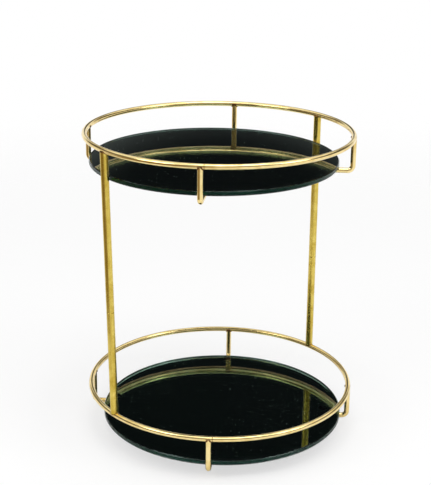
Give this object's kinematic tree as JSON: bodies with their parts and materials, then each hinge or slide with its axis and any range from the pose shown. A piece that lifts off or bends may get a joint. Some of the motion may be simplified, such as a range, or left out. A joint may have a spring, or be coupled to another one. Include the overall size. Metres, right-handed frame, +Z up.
{
  "type": "rotating two-tier vanity tray",
  "caption": "Round two-tier dressing-table organizer: dark glass shelves inside gold wire rails, joined by two screwed legs, turning freely on a low ball-race turntable.",
  "frame": {"origin": "on the turning axis, in the plane that the rubber feet stand on", "axes": "+Z up along the turning axis, -Y towards the front bracket, +X to the right seen from the front"},
  "size_m": [0.2868, 0.2852, 0.3261],
  "materials": {
    "polished_gold": "polished gold plating on steel wire and tube",
    "smoked_glass": "black tinted mirror glass with a green ground edge",
    "clear_silicone": "clear silicone",
    "zinc_steel": "zinc-plated pressed steel",
    "brass_insert": "turned",
    "ball_steel": "ground bearing steel",
    "nylon": "natural nylon",
    "black_rubber": "matt"
  },
  "bodies": {
    "base": {"turntable_base_plate": "zinc_steel", "rubber_feet": "black_rubber", "pivot_rivet": "zinc_steel", "pivot_washer": "nylon"},
    "cage": {"ball_cage": "nylon", "bearing_balls": "ball_steel"},
    "tray": {"upper_rail_ring": "polished_gold", "lower_rail_ring": "polished_gold", "upper_bracket_front": "polished_gold", "upper_bracket_right": "polished_gold", "upper_bracket_rear": "polished_gold", "upper_bracket_left": "polished_gold", "lower_bracket_front": "polished_gold", "lower_bracket_right": "polished_gold", "lower_bracket_rear": "polished_gold", "lower_bracket_left": "polished_gold", "right_leg_upper_tube": "polished_gold", "right_leg_lower_tube": "polished_gold", "left_leg_upper_tube": "polished_gold", "left_leg_lower_tube": "polished_gold", "right_leg_stud": "zinc_steel", "left_leg_stud": "zinc_steel", "turntable_top_plate": "zinc_steel", "right_leg_insert": "brass_insert", "left_leg_insert": "brass_insert", "upper_glass": "smoked_glass", "lower_glass": "smoked_glass", "upper_glass_pads": "clear_silicone", "lower_glass_pads": "clear_silicone"}
  },
  "joints": [
    {"name": "tray_spin", "type": "hinge", "parent": "base", "child": "tray", "pos_m": [0, 0, 0.0062], "axis": [0, 0, 1], "continuous": true},
    {"name": "cage_spin", "type": "hinge", "parent": "base", "child": "cage", "pos_m": [0, 0, 0.0062], "axis": [0, 0, 1], "continuous": true}
  ],
  "couplings": [
    {"joint": "cage_spin", "follows": "tray_spin", "ratio": 0.5}
  ]
}
